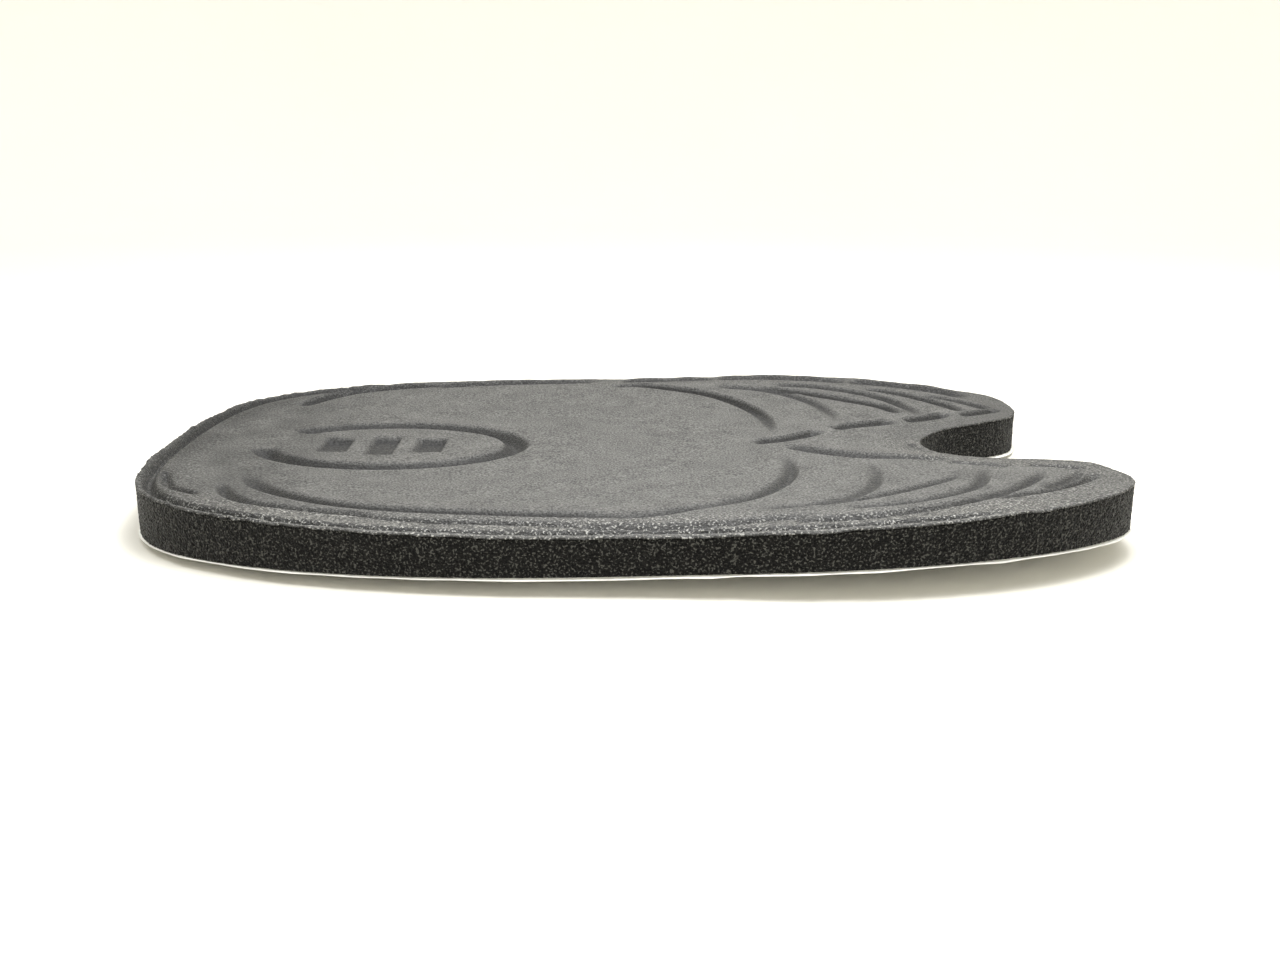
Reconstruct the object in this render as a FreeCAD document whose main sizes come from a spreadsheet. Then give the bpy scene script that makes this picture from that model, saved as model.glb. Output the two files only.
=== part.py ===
"""Back protector pad: a die-cut sheet of closed-cell foam with an embossed face and an adhesive back.

The pad lies flat on its release liner.  Its length runs along X, with the round end at -X and the notched
end at +X, and it is symmetric about the XZ plane.  The origin is at the bottom centre of its box, +Z is up
through the layers, and sizes are in millimetres.

From the bottom up there are four bonded layers, one body each:
    release_liner   siliconised paper that is peeled off before the pad is stuck down
    adhesive_film   the pressure-sensitive adhesive on the back of the foam
    foam_core       the closed-cell foam, with the troughs of the embossing pressed into its top
    face_skin       the thin formed skin, which dips into every trough
"""
import FreeCAD, Part
import os

DIMENSIONS = {
    "pad_length": 320.0,
    "pad_width": 236.0,
    "liner_thickness": 0.15,
    "film_thickness": 0.15,
    "core_thickness": 14.2,
    "skin_thickness": 1.0,
    "groove_depth": 2.2,
    "groove_width": 5.0,
    "rim_inset": 6.5,
    "medallion_centre": -81.0,
    "medallion_length": 92.0,
    "medallion_width": 68.0,
}

# Half of the outline, from the middle of the round end to the middle of the notch, as shares of half the
# pad's length and half its width.  The other half is its mirror image.
HALF_OUTLINE = [
    (-1.00, 0.00), (-0.988, 0.30), (-0.962, 0.46), (-0.905, 0.61), (-0.73, 0.785), (-0.525, 0.885),
    (-0.17, 0.958), (0.14, 0.978), (0.39, 0.998), (0.69, 0.935), (0.89, 0.80), (0.982, 0.65),
    (0.996, 0.50), (0.965, 0.36), (0.865, 0.262), (0.755, 0.182), (0.70, 0.085), (0.685, 0.00),
]
OUTLINE_STRETCHES = 8
ROUND_END_POINTS = slice(1, 5)      # the stretch of the outline that the rim trough runs inside

# Centre lines of the troughs between the raised plates, on the +Y side, as shares of the same two halves:
# name, width as a share of groove_width, points.
TROUGHS = [
    ("shield_side", 1.2, [(-0.80, 0.41), (-0.72, 0.625), (-0.58, 0.745), (-0.39, 0.825), (-0.02, 0.87)]),
    ("shield_end", 1.3, [(0.03, 0.86), (0.235, 0.735), (0.325, 0.52), (0.35, 0.28), (0.335, 0.07)]),
    ("scale_1", 1.0, [(0.22, 0.865), (0.385, 0.81), (0.48, 0.665), (0.52, 0.47), (0.505, 0.25)]),
    ("scale_2", 0.9, [(0.42, 0.855), (0.535, 0.77), (0.62, 0.64), (0.68, 0.44)]),
    ("scale_3", 1.0, [(0.54, 0.855), (0.65, 0.765), (0.72, 0.60), (0.735, 0.40)]),
    ("scale_4", 0.9, [(0.70, 0.77), (0.785, 0.69), (0.84, 0.57), (0.86, 0.46)]),
    ("scale_5", 0.8, [(0.85, 0.665), (0.905, 0.59), (0.93, 0.49)]),
    ("edge_shoulder", 0.9, [(0.10, 0.905), (0.38, 0.945), (0.62, 0.90), (0.79, 0.81), (0.90, 0.70)]),
    ("spine_inner", 0.8, [(0.39, 0.06), (0.44, 0.13), (0.53, 0.20), (0.62, 0.25)]),
    ("spine_outer", 0.8, [(0.67, 0.285), (0.77, 0.345), (0.87, 0.40)]),
]


def make_sheet(document):
    """The spreadsheet of driving dimensions, one alias each."""
    sheet = document.addObject("Spreadsheet::Sheet", "dims")
    for row, (alias, value) in enumerate(DIMENSIONS.items(), start=1):
        sheet.set(f"A{row}", alias)
        sheet.set(f"B{row}", str(value))
        sheet.setAlias(f"B{row}", alias)
    document.recompute()
    return sheet


def at_share(sheet, share):
    """The point at a share of half the pad's length and half its width."""
    return FreeCAD.Vector(share[0] * sheet.pad_length / 2, share[1] * sheet.pad_width / 2, 0)


def mirrored(points):
    """The points' mirror image in the pad's axis."""
    return [FreeCAD.Vector(p.x, -p.y, p.z) for p in points]


def curve_through(points, closed=False):
    """The spline through the points."""
    curve = Part.BSplineCurve()
    curve.interpolate(points, PeriodicFlag=closed)
    return curve


def outline_curves(sheet):
    """The pad's closed outline, one smooth spline cut into equal stretches."""
    half = [at_share(sheet, share) for share in HALF_OUTLINE]
    whole = curve_through(half + mirrored(half[-2:0:-1]), closed=True)
    span = (whole.LastParameter - whole.FirstParameter) / OUTLINE_STRETCHES
    stretches = []
    for i in range(OUTLINE_STRETCHES):
        stretch = whole.copy()
        stretch.segment(whole.FirstParameter + i * span, whole.FirstParameter + (i + 1) * span)
        stretches.append(stretch)
    return stretches


def normals_along(points):
    """Unit normals in the XY plane, from the chord between each point's neighbours."""
    last = len(points) - 1
    normals = []
    for i in range(len(points)):
        chord = points[min(i + 1, last)] - points[max(i - 1, 0)]
        normals.append(FreeCAD.Vector(-chord.y, chord.x, 0).normalize())
    return normals


def tapered_trough(points, width, growth):
    """A trough's two edges: they meet in a point at both ends, and lie width apart between.

    growth widens the trough on every side, for the outside of the skin's wall.
    """
    normals = normals_along(points)
    half_width = width / 2 + growth
    first = points[0] - (points[1] - points[0]).normalize() * 2 * growth
    last = points[-1] + (points[-1] - points[-2]).normalize() * 2 * growth
    edges = []
    for side in (half_width, -half_width):
        inner = [p + n * side for p, n in zip(points[1:-1], normals[1:-1])]
        edges.append(curve_through([first] + inner + [last]))
    return edges


def trough_curves(sheet, growth):
    """The edges of every trough, the rim's included, on both sides of the pad's axis."""
    lines = [(share, [at_share(sheet, p) for p in points]) for _, share, points in TROUGHS]
    rim = [at_share(sheet, p) for p in HALF_OUTLINE][ROUND_END_POINTS]
    rim = [p - n * sheet.rim_inset for p, n in zip(rim, normals_along(rim))]
    lines.append((1.0, rim))
    curves = []
    for share, points in lines:
        for side in (points, mirrored(points)):
            curves += tapered_trough(side, share * sheet.groove_width, growth)
    return curves


def medallion_curves(sheet, growth):
    """The two ovals that bound the trough round the medallion."""
    centre = FreeCAD.Vector(sheet.medallion_centre, 0, 0)
    ovals = []
    for edge in (growth, -sheet.groove_width - growth):
        ovals.append(Part.Ellipse(centre, sheet.medallion_length / 2 + edge, sheet.medallion_width / 2 + edge))
    return ovals


def origin_plane(body):
    """The body's own XY plane."""
    return next(plane for plane in body.Origin.OriginFeatures if plane.Role == "XY_Plane")


def add_sketch(body, name, curves, height):
    """A sketch of the curves on the body's XY plane, lifted to the height that the expression gives."""
    sketch = body.newObject("Sketcher::SketchObject", name)
    sketch.AttachmentSupport = [(origin_plane(body), "")]
    sketch.MapMode = "FlatFace"
    sketch.setExpression(".AttachmentOffset.Base.z", height)
    for curve in curves:
        sketch.addGeometry(curve, False)
    return sketch


def add_feature(body, kind, name, sketch, length, reverse=False):
    """A Pad or Pocket of the sketch, as long as the expression gives."""
    feature = body.newObject(f"PartDesign::{kind}", name)
    feature.Profile = sketch
    feature.setExpression("Length", length)
    feature.Reversed = reverse
    body.Document.recompute()
    return feature


def make_layer(document, sheet, label, bottom, thickness):
    """One layer of the pad's outline, from the height bottom."""
    body = document.addObject("PartDesign::Body", label)
    body.Label = label
    outline = add_sketch(body, f"{label}_outline", outline_curves(sheet), bottom)
    add_feature(body, "Pad", f"{label}_slab", outline, thickness)
    return body


def emboss_core(sheet, body, top, depth):
    """Presses the troughs into the top of the foam."""
    for name, curves in (
        ("core_troughs", trough_curves(sheet, sheet.skin_thickness)),
        ("core_medallion", medallion_curves(sheet, sheet.skin_thickness)),
    ):
        before = body.Shape.Volume
        sketch = add_sketch(body, f"{name}_sketch", curves, top)
        add_feature(body, "Pocket", name, sketch, depth)
        if body.Shape.Volume >= before:
            raise RuntimeError(f"{name} cut nothing")


def emboss_skin(sheet, body, underside, top, depth):
    """Forms the skin down into the troughs, and keeps its thickness on their walls and floors."""
    for name, makes in (("troughs", trough_curves), ("medallion", medallion_curves)):
        formed = add_sketch(body, f"skin_{name}_formed", makes(sheet, sheet.skin_thickness), underside)
        add_feature(body, "Pad", f"skin_{name}_wall", formed, depth, reverse=True)
        before = body.Shape.Volume
        hollow = add_sketch(body, f"skin_{name}_hollow", makes(sheet, 0.0), top)
        add_feature(body, "Pocket", f"skin_{name}_cut", hollow, depth)
        if body.Shape.Volume >= before:
            raise RuntimeError(f"skin_{name}_cut cut nothing")


def check_document(document, bodies):
    """Stops if any object failed, or any layer isn't one valid solid."""
    for item in document.Objects:
        if "Invalid" in item.State or "Error" in item.State:
            raise RuntimeError(f"{item.Name} failed: {item.State}")
    for body in bodies:
        shape = body.Shape
        if shape.isNull() or not shape.isValid() or len(shape.Solids) != 1:
            raise RuntimeError(f"{body.Label} isn't one valid solid")


def main():
    document = FreeCAD.newDocument("back_protector")
    sheet = make_sheet(document)

    film_bottom = "dims.liner_thickness"
    core_bottom = f"{film_bottom} + dims.film_thickness"
    skin_bottom = f"{core_bottom} + dims.core_thickness"
    skin_top = f"{skin_bottom} + dims.skin_thickness"

    liner = make_layer(document, sheet, "release_liner", "0 mm", "dims.liner_thickness")
    film = make_layer(document, sheet, "adhesive_film", film_bottom, "dims.film_thickness")
    core = make_layer(document, sheet, "foam_core", core_bottom, "dims.core_thickness")
    skin = make_layer(document, sheet, "face_skin", skin_bottom, "dims.skin_thickness")
    emboss_core(sheet, core, skin_bottom, "dims.groove_depth")
    emboss_skin(sheet, skin, skin_bottom, skin_top, "dims.groove_depth")

    bodies = [liner, film, core, skin]
    document.recompute()
    check_document(document, bodies)

    os.makedirs("parts", exist_ok=True)
    for body in bodies:
        body.Shape.exportStep(f"parts/{body.Label}.step")
        box = body.Shape.BoundBox
        print(f"{body.Label}: {box.XLength:.2f} x {box.YLength:.2f} x {box.ZLength:.2f} mm, "
              f"{body.Shape.Volume / 1000:.1f} ml")


main()
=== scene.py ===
"""Looks of the back protector pad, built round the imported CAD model.

Everything is in metres in the CAD frame: X along the pad towards the notch, Y across it, Z up.  The pad is
modelled flat from its outline and a height field of troughs, and the finished layers are then bent together
into the slight curl that the real pad lies with.
"""
import math

import bpy
import numpy as np
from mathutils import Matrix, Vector
from mathutils.geometry import delaunay_2d_cdt
from mathutils.kdtree import KDTree


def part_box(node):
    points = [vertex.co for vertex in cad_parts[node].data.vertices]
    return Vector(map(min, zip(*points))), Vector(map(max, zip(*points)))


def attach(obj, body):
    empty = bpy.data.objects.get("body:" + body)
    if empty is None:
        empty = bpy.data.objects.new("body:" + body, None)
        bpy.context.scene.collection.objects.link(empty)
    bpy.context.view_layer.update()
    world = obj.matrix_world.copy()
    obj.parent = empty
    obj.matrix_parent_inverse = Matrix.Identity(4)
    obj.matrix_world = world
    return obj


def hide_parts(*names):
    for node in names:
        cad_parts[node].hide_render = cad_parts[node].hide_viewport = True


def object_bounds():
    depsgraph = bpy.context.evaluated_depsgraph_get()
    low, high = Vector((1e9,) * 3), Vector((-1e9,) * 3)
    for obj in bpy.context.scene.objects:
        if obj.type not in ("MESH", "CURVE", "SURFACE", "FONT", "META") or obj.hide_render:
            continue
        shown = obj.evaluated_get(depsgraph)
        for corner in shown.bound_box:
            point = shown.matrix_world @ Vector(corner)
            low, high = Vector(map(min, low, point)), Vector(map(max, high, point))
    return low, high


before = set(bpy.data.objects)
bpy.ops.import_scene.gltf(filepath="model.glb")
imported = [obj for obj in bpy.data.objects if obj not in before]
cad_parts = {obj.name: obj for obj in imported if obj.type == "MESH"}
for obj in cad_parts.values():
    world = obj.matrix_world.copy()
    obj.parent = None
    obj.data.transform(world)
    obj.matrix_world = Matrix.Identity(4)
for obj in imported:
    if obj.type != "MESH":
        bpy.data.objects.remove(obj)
cad_low, cad_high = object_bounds()

MM = 0.001
SEED = 7

HALF_LENGTH = (cad_high.x - cad_low.x) / 2
HALF_WIDTH = (cad_high.y - cad_low.y) / 2
PLATE_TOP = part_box("face_skin")[1].z
CORE_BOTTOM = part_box("foam_core")[0].z
FILM_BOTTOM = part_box("adhesive_film")[0].z
SKIN_THICKNESS = 1.0 * MM
EDGE_THINNING = 0.35 * MM   # how much thinner the skin is at its cut edge
EDGE_THINNING_WIDTH = 1.2 * MM
EDGE_RADIUS = 0.6 * MM
SKIN_LOOP = 1100            # points round the skin's outline
CORE_LOOP = 2000            # round the core's, where the cells are cut
DENSE_LOOP = 4000           # round the outline that distances are measured from
CORE_ROWS = 28              # of quads up the cut side
SKIN_LATTICE = 1.15 * MM    # of the embossed face between the guide points
GUIDE_STEP = 0.95 * MM      # between guide points along a trough
GUIDE_SPACING = 0.45 * MM   # side of the squares that hold one guide point each
LAYER_LATTICE = 2.1 * MM    # of the hidden faces where the skin and the core meet
LAYER_RINGS = [1.2 * MM, 2.6 * MM, 4.0 * MM, 5.4 * MM]
LAYER_GUIDE_SPACING = 1.3 * MM      # the same on the hidden faces
FLAT_LATTICE = 12 * MM      # of the core's flat underside
FLAT_RINGS = [1.5 * MM, 5 * MM]
SHEET_LOOP = 500            # points round the film
LINER_LOOP = 900            # round the liner, whose edge is uneven
SHEET_LATTICE = 8 * MM
SHEET_RINGS = [2.0 * MM]
FILM_INSET = 0.4 * MM
SHEET_GAP = 0.01 * MM       # above and below the film
RAGGED_EDGE = 0.25 * MM     # unevenness of the skin's cut edge
LAYER_GAP = 0.03 * MM       # between the skin and the core

# Half of the outline, from the middle of the round end to the middle of the notch, as shares of half the
# length and half the width.
HALF_OUTLINE = [
    (-1.00, 0.00), (-0.988, 0.30), (-0.962, 0.46), (-0.905, 0.61), (-0.73, 0.785), (-0.525, 0.885),
    (-0.17, 0.958), (0.14, 0.978), (0.39, 0.998), (0.69, 0.935), (0.89, 0.80), (0.982, 0.65),
    (0.996, 0.50), (0.965, 0.36), (0.865, 0.262), (0.755, 0.182), (0.70, 0.085), (0.685, 0.00),
]

# Height of the cut edge against X, in millimetres: the foam is pressed thinner along the middle.
EDGE_X = [-160, -110, -60, 0, 40, 80, 120, 160]
EDGE_HEIGHT = [16.8, 15.1, 12.9, 11.7, 11.8, 12.5, 13.6, 15.6]
EDGE_SHIFTS = (-24, -12, 12, 24)        # along X, at which it is averaged to soften its bends
# Insets in millimetres of the mesh's rows along the cut edge of the face.
SKIN_RINGS = [0.2, 0.5, 0.9, 1.4, 2.0, 2.6, 3.1, 3.55, 4.0, 4.45, 4.9, 5.4, 6.0, 6.8]
PILLOW_WIDTH = 28 * MM      # how far inside the outline the face reaches its full height
CELL_SIZE = 1.15 * MM       # of the cut foam
CELL_DEPTH = 0.22 * MM
LARGE_CELL = 2.6            # size of the larger hollows against a cell, and their share of its depth
LARGE_CELL_SHARE = 0.6

# Troughs of the embossing, in millimetres on the +Y side.  The points follow a trough's floor.  Its outer
# wall is on the left of their direction and its inner wall on the right.
TROUGHS = {
    "shield_side": dict(side=-1, depth=3.7, inner=5.2, outer=2.4, points=[
        (-122, 42), (-115, 56), (-105, 66), (-84, 79.5), (-45, 90), (-16, 94.5), (6, 96.5)]),
    "shield_end": dict(fade=0.50, depth=2.8, inner=4.6, outer=2.4, points=[
        (-6, 95.5), (10, 96), (22, 90.5), (34, 84), (44, 74), (52, 60), (57, 44), (58, 26), (56, 10)]),
    "rim_scale": dict(side=-1, depth=2.3, inner=3.4, outer=2.4, points=[
        (-127, 52), (-121, 67), (-113, 75.5), (-103, 80.5), (-92, 85), (-80, 89), (-64, 94.5)]),
    "waist_scale": dict(side=-1, depth=2.3, inner=3.0, outer=2.2, points=[
        (-75, 91), (-62, 96), (-48, 99), (-33, 100.5), (-20, 102.5), (-8, 105)]),
    "flank_scale": dict(side=-1, depth=2.1, inner=3.4, outer=2.2, points=[
        (-15, 104), (0, 106), (14, 107), (30, 106.5), (44, 104.5), (57, 101)]),
    "shoulder_scale": dict(side=-1, depth=2.6, inner=4.0, outer=2.4, points=[
        (47, 106), (60, 107.5), (72, 106.5), (84, 103), (97, 97), (108, 90), (115, 85)]),
    "lobe_scale": dict(side=-1, depth=2.4, inner=3.6, outer=2.2, points=[
        (110, 91), (122, 87), (134, 80), (145, 70), (152, 60)]),
    "far_shield": dict(side=1, depth=2.7, inner=4.4, outer=2.6, points=[
        (-130, 61), (-124, 71), (-116, 81.5), (-102, 91), (-86, 97), (-74, 101)]),
    "far_waist": dict(side=1, fade=0.35, depth=2.7, inner=5.4, outer=4.2, points=[
        (-80, 97), (-62, 101.5), (-44, 104.5), (-26, 106), (-6, 108.5)]),
    "far_flank": dict(side=1, fade=0.35, depth=2.4, inner=5.2, outer=4.0, points=[
        (0, 108), (14, 109), (28, 110.5), (46, 111.5)]),
    "far_shoulder": dict(side=1, fade=0.35, depth=2.9, inner=5.8, outer=4.2, points=[
        (42, 112), (58, 112), (74, 110.5), (89, 107.5), (102, 103)]),
    "far_lobe": dict(side=1, fade=0.35, depth=2.9, inner=5.8, outer=4.0, points=[
        (99, 105), (113, 101.5), (126, 95.5), (138, 87), (147, 76)]),
    "plate_1": dict(fade=0.55, depth=1.5, inner=4.4, outer=2.4, points=[
        (38, 93), (50, 92), (61, 88), (70, 81), (78, 70), (83, 54), (84.5, 38), (82, 24)]),
    "plate_2": dict(depth=2.6, inner=4.2, outer=2.2, points=[
        (57, 91), (71, 86), (86, 76.5), (98, 67), (108, 56), (112, 46)]),
    "plate_3": dict(fade=0.45, depth=2.1, inner=4.2, outer=2.2, points=[
        (64, 96), (75, 95), (88, 91), (100, 83.5), (110, 73), (116, 59), (118, 44), (116, 36)]),
    "plate_4": dict(depth=2.2, inner=4.2, outer=2.0, points=[
        (104, 91), (114, 85), (124, 75), (132, 63), (138, 50)]),
    "plate_5": dict(depth=1.8, inner=3.6, outer=2.0, points=[
        (128, 80), (136, 73), (144, 63), (149, 54)]),
    "spine_near": dict(side=-1, depth=3.4, inner=6.0, outer=4.4, points=[
        (60, 5), (66, 12), (74, 18.5), (84, 24), (98, 26.5), (114, 28)]),
    "spine_1": dict(side=1, depth=2.6, inner=4.4, outer=3.0, points=[
        (48, 0.5), (58, 4), (66, 9), (75, 17)]),
    "spine_2": dict(side=1, depth=2.6, inner=4.4, outer=3.0, points=[
        (80, 20.5), (86, 24), (95, 28), (106, 34)]),
    "spine_3": dict(depth=2.4, inner=4.0, outer=2.8, points=[
        (110, 35), (120, 39.5), (130, 46)]),
    "spine_4": dict(depth=2.0, inner=3.6, outer=2.6, points=[
        (134, 44), (143, 48), (152, 53.5)]),
    "rim_fold": dict(side=-1, depth=2.0, inner=2.6, outer=2.0, points=[
        (-149, 40), (-144, 54), (-137, 63), (-129, 67)]),
}
TAPER_SHARE = 0.18          # share of a trough's length over which each end rises to the face
FRONT_SHARE = 0.85          # depth of the paired troughs on -Y against those on +Y
FRONT_TAPER = 0.40          # share of their length over which they rise towards the axis
FRONT_CREST = 0.2           # height of the crests on -Y against those on +Y
CREST_HEIGHT = 0.22         # of the ridge along a trough's outer side, as a share of the trough's depth
CREST_WIDTH = 0.9 * MM

RIM_TROUGH_INSET = 4.0 * MM
RIM_TROUGH_HALF_WIDTH = 2.2 * MM
RIM_TROUGH_DEPTH = 1.7 * MM
RIM_TROUGH_DEEPER = 1.5 * MM        # added at the round end
RIM_TROUGH_WIDER = 0.35             # share of the half width added at the round end
RIM_TROUGH_FAR_END = -95 * MM       # X at which it has run out on +Y
RIM_TROUGH_NEAR_END = 115 * MM      # and on -Y
RIM_TROUGH_RUN_OUT = 20 * MM
ROUND_END_X = -70 * MM              # where the round end's features begin
ROUND_END_RUN = 50 * MM
CRINKLE = 0.13 * MM         # wrinkles of the skin where it is pressed in
RIM_LUMPS = 0.30 * MM       # unevenness of the rim
LUMP_WIDTH = 6 * MM

MEDALLION = dict(x=-82 * MM, y=1.5 * MM, length=90 * MM, width=60 * MM)
MEDALLION_TROUGH = dict(depth=3.7 * MM, half_width=5.0 * MM)
MEDALLION_GAP = math.radians(168)       # direction in which the oval stays open
MEDALLION_GAP_HALF = math.radians(22)
MEDALLION_GAP_SOFT = math.radians(12)   # over which the trough rises beside the gap
MOTIF_BARS = ((-20, 9), (-3, 13), (14, 9))      # place along the oval and half length, in millimetres
MOTIF_HALF_WIDTH = 5.6
MOTIF_SOFT = 1.8
MOTIF_DEPTH = 2.2 * MM
SHADE_FULL_DEPTH = 1.1 * MM    # trough depth at which the painted shade is full
SHADED_RIM = 10 * MM       # inset up to which the edge gets some painted shade, and the width of the change
SHADED_RIM_SOFT = 8 * MM
SHADE_PATCHES_X = -85 * MM        # where the painted shade patches at the round end begin
SHADE_PATCHES_RUN = 45 * MM
SHADE_PATCH_SIZE = 9 * MM
WRINKLE_GLINT_RIM = 8 * MM       # inset up to which the skin wrinkles and gets painted glints, and the width of the change
WRINKLE_GLINT_RIM_SOFT = 14 * MM

# The curl: how far each part of it lifts the pad off the floor, in millimetres, at the full half length and
# the full half width.  CURL_FLOOR keeps the pad's lowest point just clear of the floor.
CURL_FLOOR = 0.45 * MM
CURL = dict(notch_end=0.5, round_end=3.3, tilt=2.1, across=1.9, sides=4.2,
            twist=-1.8, lobe_twist=-2.3, corner_twist=-0.7)


# ---------------------------------------------------------------- curves and distances

def spline_through(points, count, closed=False):
    """count points along the cubic spline through the points, evenly spaced by length."""
    knots = np.asarray(points, float)
    if closed:
        knots = np.vstack([knots, knots[:1]])
    step = np.hypot(*np.diff(knots, axis=0).T)
    at = np.r_[0.0, np.cumsum(step)]
    n = len(knots)
    system = np.zeros((n, n))
    right = np.zeros((n, 2))
    for i in range(1, n - 1):
        system[i, i - 1:i + 2] = step[i - 1], 2 * (step[i - 1] + step[i]), step[i]
        right[i] = 6 * ((knots[i + 1] - knots[i]) / step[i] - (knots[i] - knots[i - 1]) / step[i - 1])
    if closed:
        system[0, [0, 1, n - 2]] = 2 * (step[-1] + step[0]), step[0], step[-1]
        right[0] = 6 * ((knots[1] - knots[0]) / step[0] - (knots[0] - knots[-2]) / step[-1])
        system[-1, [0, -1]] = 1, -1
    else:
        system[0, 0] = system[-1, -1] = 1
    bend = np.linalg.solve(system, right)

    def evaluate(t):
        i = np.clip(np.searchsorted(at, t, side="right") - 1, 0, n - 2)
        a = ((at[i + 1] - t) / step[i])[:, None]
        b = 1 - a
        square = (step[i] ** 2 / 6)[:, None]
        straight = a * knots[i] + b * knots[i + 1]
        return straight + square * ((a ** 3 - a) * bend[i] + (b ** 3 - b) * bend[i + 1])

    fine = np.linspace(0, at[-1], 40 * n)
    curve = evaluate(fine)
    length = np.r_[0.0, np.cumsum(np.hypot(*np.diff(curve, axis=0).T))]
    wanted = np.linspace(0, length[-1], count, endpoint=not closed)
    return evaluate(np.interp(wanted, length, fine))


def nearest_on_line(points, line):
    """Distance to a polyline, the share of its length, and the side (+1 on the left), for each point."""
    start = line[:-1]
    along = line[1:] - start
    size = np.hypot(*along.T)
    before = np.r_[0.0, np.cumsum(size)]
    best = np.full(len(points), 1e9)
    share = np.zeros(len(points))
    side = np.ones(len(points))
    for k in range(len(start)):
        rel = points - start[k]
        t = np.clip(rel @ along[k] / size[k] ** 2, 0, 1)
        gap = rel - t[:, None] * along[k]
        d = np.hypot(*gap.T)
        closer = d < best
        best[closer] = d[closer]
        share[closer] = (before[k] + t[closer] * size[k]) / before[-1]
        side[closer] = np.sign(along[k][0] * rel[closer, 1] - along[k][1] * rel[closer, 0] + 1e-15)
    return best, share, side


def smooth_step(t):
    t = np.clip(t, 0, 1)
    return t * t * (3 - 2 * t)


def inside_loop(points, loop):
    """Whether each point is inside the closed loop, by counting crossings."""
    x, y = points.T
    inside = np.zeros(len(points), bool)
    for (x1, y1), (x2, y2) in zip(loop, np.roll(loop, -1, axis=0)):
        if y1 == y2:
            continue
        crosses = (y1 > y) != (y2 > y)
        inside ^= crosses & (x < (x2 - x1) * (y - y1) / (y2 - y1) + x1)
    return inside


# ---------------------------------------------------------------- the pad's shape

def pad_outline(count, grow=0.0):
    """The pad's outline, anticlockwise, grown outwards by grow."""
    half = np.array(HALF_OUTLINE) * [HALF_LENGTH, HALF_WIDTH]
    other = half[-2:0:-1] * [1, -1]
    loop = spline_through(np.vstack([half, other]), count, closed=True)[::-1]
    return loop + outward_normals(loop) * grow


def outward_normals(loop):
    chord = np.roll(loop, -1, axis=0) - np.roll(loop, 1, axis=0)
    return np.c_[chord[:, 1], -chord[:, 0]] / np.hypot(*chord.T)[:, None]


def edge_height(x):
    """Height of the cut edge at x."""
    profile = np.interp(x / MM, EDGE_X, EDGE_HEIGHT)
    soft = sum(np.interp(x / MM + shift, EDGE_X, EDGE_HEIGHT) for shift in EDGE_SHIFTS)
    return (profile + soft) / (1 + len(EDGE_SHIFTS)) * MM


def trough_profile(points, trough):
    """Depth below the face of one trough, and the height of the crest beside it.

    A trough with a side is only there, on +Y or on -Y.  Any other is on both sides of the axis, and the one
    on -Y is shallower and fades out gently towards the axis.  A trough's fade is the share of its length
    over which its last end rises.
    """
    depth, inner, outer = trough["depth"] * MM, trough["inner"] * MM, trough["outer"] * MM
    path = spline_through(np.array(trough["points"]) * MM, 60)
    side = trough.get("side")
    folded = np.c_[points[:, 0], np.abs(points[:, 1]) if side is None else side * points[:, 1]]
    low = path.min(axis=0) - inner - outer
    high = path.max(axis=0) + inner + outer
    near = np.all((folded >= low) & (folded <= high), axis=1)
    cut = np.zeros(len(points))
    crest = np.zeros(len(points))
    gap, share, left = nearest_on_line(folded[near], path)
    reach = np.where(left > 0, outer, inner)
    end = smooth_step(np.minimum(share, 1 - share) / TAPER_SHARE) ** 0.7
    end = np.minimum(end, smooth_step((1 - share) / trough.get("fade", TAPER_SHARE)) ** 0.7)
    if side is None:
        shallow = FRONT_SHARE * smooth_step((1 - share) / FRONT_TAPER)
        end = np.where(points[near, 1] < 0, np.minimum(end, shallow), end)
    cut[near] = depth * press_profile(1 - gap / reach) * end
    ridge = np.exp(-((gap - outer) / CREST_WIDTH) ** 2) * (left > 0)
    crest[near] = CREST_HEIGHT * depth * ridge * end * np.where(points[near, 1] < 0, FRONT_CREST, 1.0)
    return cut, crest


def press_profile(t):
    """From 0 at a trough's brim to 1 on its floor, with a crisp brim and a round floor."""
    t = np.clip(t, 0, 1)
    return 0.5 * smooth_step(t) + 0.5 * np.sin(t * math.pi / 2)


def medallion_depth(points):
    """The oval trough round the medallion, open towards the round end."""
    half = np.array([MEDALLION["length"], MEDALLION["width"]]) / 2
    offset = points - [MEDALLION["x"], MEDALLION["y"]]
    radius = np.hypot(*(offset / half).T)
    gap = np.abs(radius - 1) * np.hypot(*offset.T) / np.maximum(radius, 1e-6)
    angle = np.arctan2(*(offset / half).T[::-1])
    away = np.abs((angle - MEDALLION_GAP + math.pi) % (2 * math.pi) - math.pi)
    fade = smooth_step((away - MEDALLION_GAP_HALF) / MEDALLION_GAP_SOFT)
    return MEDALLION_TROUGH["depth"] * fade * press_profile(1 - gap / MEDALLION_TROUGH["half_width"])


def motif_depth(points):
    """A plain motif inside the medallion: three bars across it, like a row of vertebrae."""
    x = (points[:, 0] - MEDALLION["x"]) / MM
    y = (points[:, 1] - MEDALLION["y"]) / MM
    depth = np.zeros(len(points))
    for centre, half_length in MOTIF_BARS:
        across = smooth_step((half_length + 1 - np.abs(y)) / MOTIF_SOFT)
        along = smooth_step((MOTIF_HALF_WIDTH - np.abs(x - centre)) / MOTIF_SOFT)
        depth = np.maximum(depth, across * along)
    return MOTIF_DEPTH * depth


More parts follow.
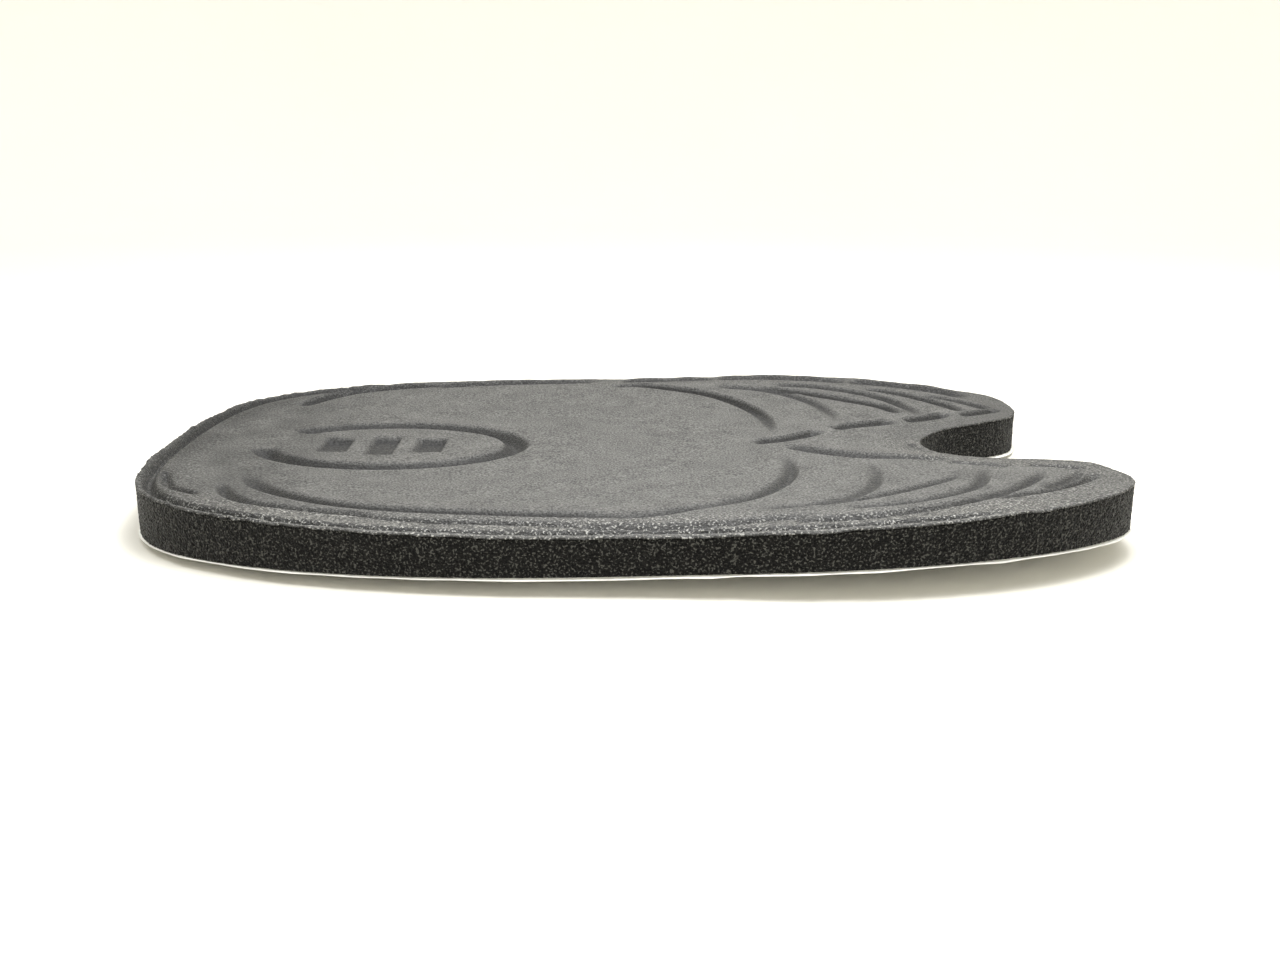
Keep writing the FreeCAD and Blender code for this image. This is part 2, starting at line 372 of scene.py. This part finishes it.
def face_shape(points, inset):
    """Height of the face of the flat pad, its painted shade, and how wrinkled it is there, which also
    places painted glints (0 to 1).
    """
    x = points[:, 0]
    edge = edge_height(x)
    pillow = np.sin(np.clip(inset / PILLOW_WIDTH, 0, 1) * math.pi / 2)
    height = edge + (PLATE_TOP - edge) * pillow
    cut = np.zeros(len(points))
    crest = np.zeros(len(points))
    for trough in TROUGHS.values():
        this_cut, this_crest = trough_profile(points, trough)
        cut = np.maximum(cut, this_cut)
        crest = np.maximum(crest, this_crest)
    cut = np.maximum(cut, medallion_depth(points))
    cut = np.maximum(cut, motif_depth(points))
    round_end = smooth_step((ROUND_END_X - x) / ROUND_END_RUN)
    cut = np.maximum(cut, rim_trough_depth(points, inset, round_end))
    wrinkles_and_glints = glint_and_wrinkle_mask(points, inset)
    wrinkle = value_noise(points, 2.4 * MM, SEED) + 0.7 * value_noise(points, 1.5 * MM, SEED + 1)
    lumps = value_noise(points, 11 * MM, SEED + 2) + 0.5 * value_noise(points, 5 * MM, SEED + 3)
    near_edge = smooth_step(1 - inset / LUMP_WIDTH)
    height += RIM_LUMPS * near_edge * (lumps + 0.9 * round_end * wrinkle)
    height += CRINKLE * wrinkles_and_glints * wrinkle
    return height - cut + crest * (1 - cut / cut.max()), shade_mask(points, inset, cut), wrinkles_and_glints


def rim_trough_depth(points, inset, round_end):
    """The trough just inside the rim: deeper and wider at the round end, and run out before the lobes."""
    half_width = RIM_TROUGH_HALF_WIDTH * (1 + RIM_TROUGH_WIDER * round_end)
    depth = RIM_TROUGH_DEPTH + RIM_TROUGH_DEEPER * round_end
    end = np.where(points[:, 1] > 0, RIM_TROUGH_FAR_END, RIM_TROUGH_NEAR_END)
    across = smooth_step(1 - np.abs(inset - RIM_TROUGH_INSET) / half_width)
    return depth * across * smooth_step((end - points[:, 0]) / RIM_TROUGH_RUN_OUT)


def shade_mask(points, inset, cut):
    """How much painted shade the skin gets: in the troughs and near the cut edge, partly the pressed skin's
    own darker tone, and in patches darkening the round end.
    """
    shade_patches = 1 + 0.8 * value_noise(points, SHADE_PATCH_SIZE, SEED + 6)
    shade_patches *= smooth_step((SHADE_PATCHES_X - points[:, 0]) / SHADE_PATCHES_RUN)
    rim = smooth_step(1 - (inset - SHADED_RIM) / SHADED_RIM_SOFT)
    return np.clip(smooth_step(cut / SHADE_FULL_DEPTH) + 0.40 * shade_patches + 0.35 * rim, 0, 1)


def glint_and_wrinkle_mask(points, inset):
    """How wrinkled the skin is, which also places the painted glints: most along the near edge, less
    towards both ends.
    """
    wrinkles_and_glints = smooth_step(1 - (inset - WRINKLE_GLINT_RIM) / WRINKLE_GLINT_RIM_SOFT)
    # Far less on +Y, which keeps the painted glints, and the wrinkles with them, on the -Y side.
    wrinkles_and_glints *= np.interp(points[:, 1], [-0.06, 0.02], [1.0, 0.12])
    return wrinkles_and_glints * np.interp(points[:, 0], [-0.14, -0.10, 0.10, 0.14], [0.35, 1.0, 1.0, 0.35])


def value_noise(points, size, seed):
    """Smooth noise between -1 and 1 whose bumps are about size across."""
    draw = np.random.default_rng(seed).uniform(-1, 1, (256, 256))
    grid = points / size
    base = np.floor(grid).astype(int)
    part = smooth_step(grid - base)
    i, j = base.T % 256
    across, up = part.T
    next_i, next_j = (i + 1) % 256, (j + 1) % 256
    low = draw[i, j] * (1 - across) + draw[next_i, j] * across
    high = draw[i, next_j] * (1 - across) + draw[next_i, next_j] * across
    return low * (1 - up) + high * up


def edge_roll(inset):
    """How far the skin's edge is rounded down near the cut."""
    return EDGE_RADIUS * (1 - np.sqrt(1 - (1 - np.clip(inset / EDGE_RADIUS, 0, 1)) ** 2))


def curl(points):
    """Lifts points, in place, into the slight curl of the pad."""
    u = points[:, 0] / HALF_LENGTH
    v = points[:, 1] / HALF_WIDTH
    lift = CURL["across"] * v ** 2 + CURL["sides"] * v ** 4 + CURL["tilt"] * u
    lift += np.where(u > 0, CURL["notch_end"], CURL["round_end"]) * u ** 2
    lift += CURL["twist"] * u * v
    lift += CURL["lobe_twist"] * u ** 2 * v + CURL["corner_twist"] * u ** 3 * v
    points[:, 2] += lift * MM + CURL_FLOOR
    return points


# ---------------------------------------------------------------- meshes

def filled_loop(loop, spacing, rings=(), guides=None, guide_spacing=None):
    """Points and triangles that fill a loop: the loop, rings inside it, guide points, then a lattice.

    The rings are insets from the loop.  The lattice leaves room round the guide points.
    """
    layers = [loop] + [loop - outward_normals(loop) * inset for inset in rings]
    band = max(rings, default=0.0) + 0.6 * spacing
    low, high = loop.min(axis=0), loop.max(axis=0)
    columns = np.arange(low[0] + spacing / 2, high[0], spacing)
    rows = np.arange(low[1] + spacing / 2, high[1], spacing)
    grid = np.stack(np.meshgrid(columns, rows), axis=-1).reshape(-1, 2)
    if guides is not None:
        guides = thinned(guides, guide_spacing)
        grid = grid[distance_to_loop(grid, guides) > 0.75 * spacing]
        grid = np.vstack([guides, grid])
    grid = grid[inside_loop(grid, loop[::2])]
    grid = grid[distance_to_loop(grid, loop) > band]
    cloud = np.vstack(layers + [grid])
    count = len(loop)
    edges = [(i, (i + 1) % count) for i in range(count)]
    result = delaunay_2d_cdt([Vector(p) for p in cloud], edges, [], 1, 1e-7)
    if len(result[0]) != len(cloud):
        raise RuntimeError("the triangulation added or merged points")
    triangles = np.array(result[2])
    origin = np.array([ids[0] for ids in result[3]])
    return cloud, origin[triangles]


def filled_layer(loop):
    """Points and triangles of one of the two hidden faces where the skin and the core meet."""
    return filled_loop(loop, LAYER_LATTICE, LAYER_RINGS, trough_guides(), LAYER_GUIDE_SPACING)


def thinned(points, spacing):
    """The points without those that share a square of the given size with an earlier one."""
    square = np.floor(points / spacing).astype(int)
    first = np.unique(square, axis=0, return_index=True)[1]
    return points[np.sort(first)]


def trough_guides():
    """Points in rows along the brims, walls and floors of the troughs, so that their edges are crisp."""
    rows = []
    for trough in TROUGHS.values():
        path = spline_through(np.array(trough["points"]) * MM, 200)
        length = np.hypot(*np.diff(path, axis=0).T).sum()
        path = spline_through(np.array(trough["points"]) * MM, int(length / GUIDE_STEP))
        chord = np.gradient(path, axis=0)
        left = np.c_[-chord[:, 1], chord[:, 0]] / np.hypot(*chord.T)[:, None]
        inner, outer = trough["inner"] * MM, trough["outer"] * MM
        for offset in (-inner, -0.75 * inner, -0.5 * inner, -0.25 * inner, 0,
                       outer / 3, outer * 2 / 3, outer, outer + 0.8 * MM):
            row = path + left * offset
            rows += [row * [1, side] for side in (1, -1) if trough.get("side") in (None, side)]
    half = np.array([MEDALLION["length"], MEDALLION["width"]]) / 2
    turn = np.linspace(0, 2 * math.pi, int(math.pi * half.sum() / GUIDE_STEP), endpoint=False)
    ring = np.c_[np.cos(turn), np.sin(turn)]
    for share in (-1, -0.75, -0.5, -0.25, 0, 0.25, 0.5, 0.75, 1):
        offset = share * MEDALLION_TROUGH["half_width"]
        rows.append([MEDALLION["x"], MEDALLION["y"]] + ring * (half + offset))
    return np.vstack(rows)


def distance_to_loop(points, loop):
    """Distance from each point to the nearest point of a finely sampled loop."""
    tree = KDTree(len(loop))
    for k, (x, y) in enumerate(loop.tolist()):
        tree.insert((x, y, 0), k)
    tree.balance()
    return np.array([tree.find((x, y, 0))[2] for x, y in points.tolist()])


def make_object(name, vertices, faces, material):
    """A smooth mesh object with outward faces, riding on the pad's body."""
    mesh = bpy.data.meshes.new(name)
    mesh.from_pydata(vertices.tolist(), [], [list(map(int, f)) for f in faces])
    mesh.update()
    mesh.polygons.foreach_set("use_smooth", [True] * len(mesh.polygons))
    mesh.materials.append(material)
    piece = bpy.data.objects.new(name, mesh)
    bpy.context.scene.collection.objects.link(piece)
    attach(piece, "root")
    return piece


def wall_between(lower, upper, count):
    """Quads between two rings of count vertices, facing away from the pad's middle."""
    here = np.arange(count)
    there = (here + 1) % count
    return np.c_[lower + here, lower + there, upper + there, upper + here]


def make_skin(material):
    """The face skin: the embossed top, its underside one thickness down, and the cut edge between them."""
    loop = pad_outline(SKIN_LOOP)
    dense = pad_outline(DENSE_LOOP)
    rings = np.array(SKIN_RINGS) * MM
    flat, top_faces = filled_loop(loop, SKIN_LATTICE, rings, trough_guides(), GUIDE_SPACING)
    inset = distance_to_loop(flat, dense)
    height, pressed_shade, wrinkles_and_glints = face_shape(flat, inset)
    top = np.c_[flat, height - edge_roll(inset)]
    ragged = RAGGED_EDGE * smooth_step(1 - inset / (1.0 * MM))
    top[:, 0] += ragged * value_noise(flat, 1.3 * MM, SEED + 4)
    top[:, 1] += ragged * value_noise(flat, 1.3 * MM, SEED + 5)

    under_flat, under_faces = filled_layer(loop)
    under_inset = distance_to_loop(under_flat, dense)
    under = np.c_[under_flat, face_shape(under_flat, under_inset)[0] - skin_thickness(under_inset)]

    vertices = np.vstack([top, under])
    side = wall_between(len(top), 0, len(loop))
    faces = list(top_faces) + list(under_faces[:, ::-1] + len(top)) + list(side)
    skin = make_object("face_skin_formed", curl(vertices), faces, material)
    # The attributes take the painted shade, and the wrinkles that also place painted glints, to the
    # material.
    for name, values in (("pressed_shade", pressed_shade), ("wrinkles_and_glints", wrinkles_and_glints)):
        layer = skin.data.attributes.new(name, "FLOAT", "POINT")
        layer.data.foreach_set("value", np.r_[values, np.ones(len(under))].astype(np.float32))
    return skin


def skin_thickness(inset):
    """The skin is drawn out thinner at its cut edge."""
    return SKIN_THICKNESS - EDGE_THINNING * (1 - smooth_step(inset / EDGE_THINNING_WIDTH))


def make_core(material):
    """The foam core: a top that the skin fits, a flat underside, and a cut side of open cells."""
    count = CORE_LOOP
    rows = CORE_ROWS
    loop = pad_outline(count)
    top_flat, top_faces = filled_layer(loop)
    inset = distance_to_loop(top_flat, pad_outline(DENSE_LOOP))
    top = np.c_[top_flat, face_shape(top_flat, inset)[0] - skin_thickness(inset) - LAYER_GAP]
    under_flat, under_faces = filled_loop(loop, FLAT_LATTICE, FLAT_RINGS)
    under = np.c_[under_flat, np.full(len(under_flat), CORE_BOTTOM)]

    normal = outward_normals(loop)
    arc = np.r_[0.0, np.cumsum(np.hypot(*np.diff(np.vstack([loop, loop[:1]]), axis=0).T))]
    share = np.arange(rows + 1) / rows
    low, high = under[:count, 2], top[:count, 2]
    height = low[:, None] + (high - low)[:, None] * share
    along = np.repeat(arc[:-1, None], rows + 1, axis=1)
    pits = cell_depth(along.ravel(), height.ravel(), arc[-1], CELL_SIZE).reshape(height.shape)
    large = cell_depth(along.ravel(), height.ravel(), arc[-1], LARGE_CELL * CELL_SIZE).reshape(height.shape)
    pits += LARGE_CELL_SHARE * large
    push = -CELL_DEPTH * pits
    ring = loop[:, None, :] + normal[:, None, :] * push[:, :, None]
    wall = np.concatenate([ring, height[:, :, None]], axis=2)
    top[:count] = wall[:, -1]
    under[:count] = wall[:, 0]

    middle = wall[:, 1:-1].transpose(1, 0, 2).reshape(-1, 3)
    vertices = np.vstack([under, middle, top])
    starts = [0] + [len(under) + k * count for k in range(rows - 1)] + [len(under) + len(middle)]
    faces = list(under_faces[:, ::-1]) + list(top_faces + starts[-1])
    for lower, upper in zip(starts[:-1], starts[1:]):
        faces += list(wall_between(lower, upper, count))
    return make_object("foam_core_cut", curl(vertices), faces, material)


def cell_depth(along, height, length, size):
    """Depth of jittered cells, 0 on their walls to 1 in their middles, on a wall that closes on itself."""
    draw = np.random.default_rng(SEED)
    columns = max(3, round(length / size))
    lines = int(height.max() / size) + 3
    jitter = draw.random((columns, lines, 2))
    u = along / length * columns
    v = height / size + 1
    first = np.full(len(u), 9.0)
    second = np.full(len(u), 9.0)
    for dx in (-1, 0, 1):
        for dy in (-1, 0, 1):
            i = np.floor(u).astype(int) + dx
            j = np.clip(np.floor(v).astype(int) + dy, 0, lines - 1)
            seed = jitter[i % columns, j]
            gap = np.hypot(i + seed[:, 0] - u, j + seed[:, 1] - v)
            second = np.where(gap < first, first, np.minimum(second, gap))
            first = np.minimum(first, gap)
    return smooth_step((second - first) / 0.45)


def make_sheet(name, loop, low, high, material, droop=0.0):
    """A thin flat layer between two heights, whose edge may droop by the given amounts."""
    flat, faces = filled_loop(loop, SHEET_LATTICE, SHEET_RINGS)
    sag = np.zeros(len(flat))
    sag[:len(loop)] = droop
    bottom = np.c_[flat, low - sag]
    top = np.c_[flat, high - sag]
    side = wall_between(0, len(flat), len(loop))
    all_faces = list(faces[:, ::-1]) + list(faces + len(flat)) + list(side)
    return make_object(name, curl(np.vstack([bottom, top])), all_faces, material)


def make_liner(material):
    """The release paper: a little larger than the pad, and drooping unevenly at its edge."""
    edge = pad_outline(LINER_LOOP)
    overhang = wavering(LINER_LOOP, 150, 0.2 * MM, 0.9 * MM, SEED + 1)
    edge = edge + outward_normals(edge) * overhang[:, None]
    room = curl(np.c_[edge, np.zeros(len(edge))])[:, 2]
    droop = wavering(LINER_LOOP, 110, 0.2 * MM, 0.7 * MM, SEED + 2)
    droop = droop * np.interp(edge[:, 0], [-0.13, 0.0], [0.25, 1.0])
    droop = np.minimum(droop, room * 0.5)
    return make_sheet("release_liner_sheet", edge, cad_low.z, FILM_BOTTOM - SHEET_GAP, material, droop)


def wavering(count, knots, low, high, seed):
    """count values that waver between low and high and close on themselves."""
    draw = np.random.default_rng(seed).uniform(low, high, knots)
    at = np.arange(count) / count * knots
    return np.interp(at, np.arange(knots + 1), np.r_[draw, draw[0]])


# ---------------------------------------------------------------- materials

MIX_COLOURS_IN = (6, 7)     # a Mix node's two colour inputs
MIX_COLOUR_OUT = 2          # and its colour output


class Nodes:
    """Small helper that adds nodes to one material and links them."""

    def __init__(self, name):
        self.material = bpy.data.materials.new(name)
        self.material.use_nodes = True
        self.tree = self.material.node_tree
        self.shader = self.tree.nodes["Principled BSDF"]
        self.place = self.add("ShaderNodeTexCoord").outputs["Object"]

    def add(self, kind, **inputs):
        node = self.tree.nodes.new(kind)
        for key, value in inputs.items():
            self.feed(node, key.replace("_", " "), value)
        return node

    def feed(self, node, key, value):
        """Links a socket to the node's input, or sets the input to a plain value."""
        socket = node.inputs[key]
        if isinstance(value, bpy.types.NodeSocket):
            self.tree.links.new(value, socket)
        else:
            socket.default_value = value

    def attribute(self, name):
        node = self.add("ShaderNodeAttribute")
        node.attribute_name = name
        return node.outputs["Fac"]

    def noise(self, scale, detail=2.0, roughness=0.5):
        node = self.add("ShaderNodeTexNoise", Vector=self.place, Scale=scale, Detail=detail,
                        Roughness=roughness)
        return node.outputs["Fac"]

    def cells(self, scale):
        return self.add("ShaderNodeTexVoronoi", Vector=self.place, Scale=scale).outputs["Distance"]

    def spread(self, value, low, high, to_low, to_high):
        node = self.add("ShaderNodeMapRange", Value=value, From_Min=low, From_Max=high, To_Min=to_low,
                        To_Max=to_high)
        return node.outputs["Result"]

    def maths(self, operation, first, second):
        node = self.add("ShaderNodeMath")
        node.operation = operation
        self.feed(node, 0, first)
        self.feed(node, 1, second)
        return node.outputs["Value"]

    def blend_colours(self, factor, *colours):
        node = self.add("ShaderNodeMix")
        node.data_type = "RGBA"
        self.feed(node, 0, factor)
        for key, colour in zip(MIX_COLOURS_IN, colours):
            self.feed(node, key, colour if isinstance(colour, bpy.types.NodeSocket) else (*colour, 1))
        return node.outputs[MIX_COLOUR_OUT]

    def bump(self, height, strength, distance, under=None):
        node = self.add("ShaderNodeBump", Height=height, Strength=strength, Distance=distance)
        if under is not None:
            self.feed(node, "Normal", under)
        return node.outputs["Normal"]

    def finish(self, **inputs):
        for key, value in inputs.items():
            self.feed(self.shader, key.replace("_", " "), value)
        return self.material


def skin_material():
    """Black heat-formed skin with a pebbled grain, painted shade in the troughs, along the edge and at the
    round end, and painted glints where it wrinkles.
    """
    n = Nodes("embossed_skin")
    pressed_shade = n.attribute("pressed_shade")
    wrinkles_and_glints = n.attribute("wrinkles_and_glints")
    grain = n.cells(1300)
    crinkle = n.noise(1500, 2, 0.6)
    mottle = n.noise(110, 3, 0.55)
    tone = n.maths("ADD", n.maths("MULTIPLY", mottle, 0.22), n.maths("MULTIPLY", crinkle, 0.78))
    # Painted shade: the tone darkens to a tenth where the shade mask is full, in the troughs, along the
    # edge and at the round end.
    tone = n.maths("MULTIPLY", n.spread(tone, 0.34, 0.66, 0, 1), n.spread(pressed_shade, 0, 1, 1.0, 0.10))
    dark = n.blend_colours(tone, (0.005, 0.005, 0.005), (0.104, 0.103, 0.098))
    # Painted glints: light flecks put into the colour where the skin wrinkles.
    painted_glint = n.spread(n.noise(1500, 1, 0.5), 0.58, 0.68, 0.0, 0.55)
    painted_glint = n.maths("MULTIPLY", painted_glint, wrinkles_and_glints)
    colour = n.blend_colours(painted_glint, dark, (0.50, 0.50, 0.47))
    dull = n.spread(crinkle, 0.35, 0.65, 0.80, 0.55)
    shiny = n.spread(crinkle, 0.40, 0.60, 0.60, 0.22)
    rough = n.maths("ADD", n.maths("MULTIPLY", dull, n.maths("SUBTRACT", 1.0, wrinkles_and_glints)),
                    n.maths("MULTIPLY", shiny, wrinkles_and_glints))
    normal = n.bump(grain, 0.6, 0.00030)
    normal = n.bump(crinkle, 1.0, n.spread(wrinkles_and_glints, 0, 1, 0.00020, 0.00070), normal)
    return n.finish(Base_Color=colour, Roughness=rough, Normal=normal, Specular_IOR_Level=0.4)


def foam_material():
    """Charcoal closed-cell foam, cut open: dark cells with lighter walls, as painted shade and light, and
    painted glints as light flecks here and there.
    """
    n = Nodes("cut_foam")
    cell = n.cells(1150)
    fine = n.noise(2200, 2, 0.6)
    patch = n.noise(60, 2, 0.5)
    # Painted light and shade: the cell walls are lighter and the hollows darker in the colour.
    lit = n.maths("MULTIPLY", n.spread(cell, 0.30, 0.65, 0, 1), n.spread(fine, 0.42, 0.62, 0.0, 1))
    tone = n.maths("ADD", lit, n.maths("MULTIPLY", patch, 0.06))
    dark = n.blend_colours(tone, (0.0001, 0.0001, 0.0001), (0.008, 0.008, 0.007))
    # Painted glints: light flecks in the colour.
    painted_glint = n.spread(n.noise(1500, 1, 0.5), 0.56, 0.66, 0.0, 1.0)
    colour = n.blend_colours(painted_glint, dark, (0.066, 0.066, 0.060))
    rough = n.spread(fine, 0.4, 0.62, 0.65, 0.36)
    normal = n.bump(cell, 1.0, 0.0005)
    normal = n.bump(fine, 0.8, 0.0002, normal)
    return n.finish(Base_Color=colour, Roughness=rough, Normal=normal, Specular_IOR_Level=0.10,
                    Sheen_Weight=0.05, Sheen_Roughness=0.5)


def film_material():
    """Pale, slightly cloudy adhesive film."""
    n = Nodes("adhesive")
    cloud = n.noise(220, 3, 0.6)
    colour = n.blend_colours(n.spread(cloud, 0.3, 0.7, 0, 1), (0.62, 0.61, 0.56), (0.74, 0.73, 0.68))
    rough = n.spread(cloud, 0.3, 0.7, 0.25, 0.45)
    normal = n.bump(cloud, 0.3, 0.0001)
    return n.finish(Base_Color=colour, Roughness=rough, Normal=normal, Transmission_Weight=0.15)


def liner_material():
    """White release paper with faint fibres and a satin coat."""
    n = Nodes("liner_paper")
    fibre = n.noise(900, 4, 0.65)
    cloud = n.noise(45, 2, 0.5)
    tone = n.maths("ADD", n.maths("MULTIPLY", fibre, 0.5), n.maths("MULTIPLY", cloud, 0.5))
    colour = n.blend_colours(n.spread(tone, 0.35, 0.65, 0, 1), (0.80, 0.80, 0.77), (0.90, 0.90, 0.88))
    rough = n.spread(fibre, 0.3, 0.7, 0.5, 0.38)
    normal = n.bump(fibre, 0.25, 0.00005)
    return n.finish(Base_Color=colour, Roughness=rough, Normal=normal)


def floor_material():
    """Plain white tabletop."""
    n = Nodes("plain_floor")
    cloud = n.noise(3, 2, 0.5)
    colour = n.blend_colours(n.spread(cloud, 0.3, 0.7, 0, 1), (0.745, 0.730, 0.675), (0.760, 0.745, 0.690))
    return n.finish(Base_Color=colour, Roughness=0.8, Specular_IOR_Level=0.1)


# ---------------------------------------------------------------- build

skin = make_skin(skin_material())
core = make_core(foam_material())
film = make_sheet("adhesive_film_layer", pad_outline(SHEET_LOOP, -FILM_INSET),
                  FILM_BOTTOM + SHEET_GAP, CORE_BOTTOM - SHEET_GAP, film_material())
liner = make_liner(liner_material())

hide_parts("face_skin")
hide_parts("foam_core")
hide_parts("adhesive_film")
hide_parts("release_liner")


# ---------------------------------------------------------------- floor, lights, camera

FLOOR_HEIGHT = -0.1 * MM     # just below the liner


def make_floor():
    """A round white floor that sweeps up to a wall all round."""
    profile = [(0.0, 0.0), (1.1, 0.0)]
    for turn in np.linspace(0.15, math.pi / 2, 10):
        profile.append((1.1 + 0.5 * math.sin(turn), 0.5 - 0.5 * math.cos(turn)))
    profile += [(1.6, 1.6)]
    around = 72
    vertices = [(0.0, 0.0, FLOOR_HEIGHT)]
    for radius, height in profile[1:]:
        for k in range(around):
            a = 2 * math.pi * k / around
            vertices.append((radius * math.cos(a), radius * math.sin(a), height + FLOOR_HEIGHT))
    faces = [(0, 1 + k, 1 + (k + 1) % around) for k in range(around)]
    for ring in range(len(profile) - 2):
        base = 1 + ring * around
        for k in range(around):
            here, there = base + k, base + (k + 1) % around
            faces.append((here, here + around, there + around, there))
    mesh = bpy.data.meshes.new("floor_sweep")
    mesh.from_pydata(vertices, [], faces)
    mesh.polygons.foreach_set("use_smooth", [True] * len(mesh.polygons))
    mesh.materials.append(floor_material())
    floor = bpy.data.objects.new("floor_sweep", mesh)
    bpy.context.scene.collection.objects.link(floor)
    return floor


def area_light(name, place, target, size, radiance):
    """A large soft light of the given radiance, hidden from the camera."""
    data = bpy.data.lights.new(name, "AREA")
    data.shape = "RECTANGLE"
    data.size, data.size_y = size
    data.energy = radiance * math.pi * size[0] * size[1]
    light = bpy.data.objects.new(name, data)
    light.location = place
    light.rotation_euler = (Vector(target) - Vector(place)).to_track_quat("-Z", "Y").to_euler()
    light.visible_camera = False
    bpy.context.scene.collection.objects.link(light)


make_floor()

world = bpy.data.worlds.new("studio")
world.use_nodes = True
world.node_tree.nodes["Background"].inputs["Color"].default_value = (1.0, 0.985, 0.93, 1)
world.node_tree.nodes["Background"].inputs["Strength"].default_value = 0.32
bpy.context.scene.world = world

area_light("overhead", (0.0, 0.15, 1.5), (0, 0.15, 0), (2.4, 2.0), 2.3)
area_light("key", (0.06, -0.06, 0.38), (0.04, -0.05, 0), (0.30, 0.22), 12.6)
area_light("behind", (0.0, 1.5, 0.95), (0, 0, 0.05), (2.4, 0.9), 1.1)

# The camera looks at the near long edge from in front and a little above, turned slightly to the notch.
CAMERA_PLACE = (0.0008, -0.4547, 0.1280)
CAMERA_PITCH = math.radians(15.58)
CAMERA_TURN = math.radians(0.86)
CAMERA_LENS = 36.56

camera_data = bpy.data.cameras.new("camera")
camera_data.sensor_width = 36.0
camera_data.lens = CAMERA_LENS
camera_data.clip_start = 0.01
camera_data.clip_end = 20.0
camera = bpy.data.objects.new("camera", camera_data)
camera.location = CAMERA_PLACE
camera.rotation_euler = (math.pi / 2 - CAMERA_PITCH, 0, -CAMERA_TURN)
bpy.context.scene.collection.objects.link(camera)
bpy.context.scene.camera = camera
bpy.context.scene.view_settings.view_transform = "Standard"
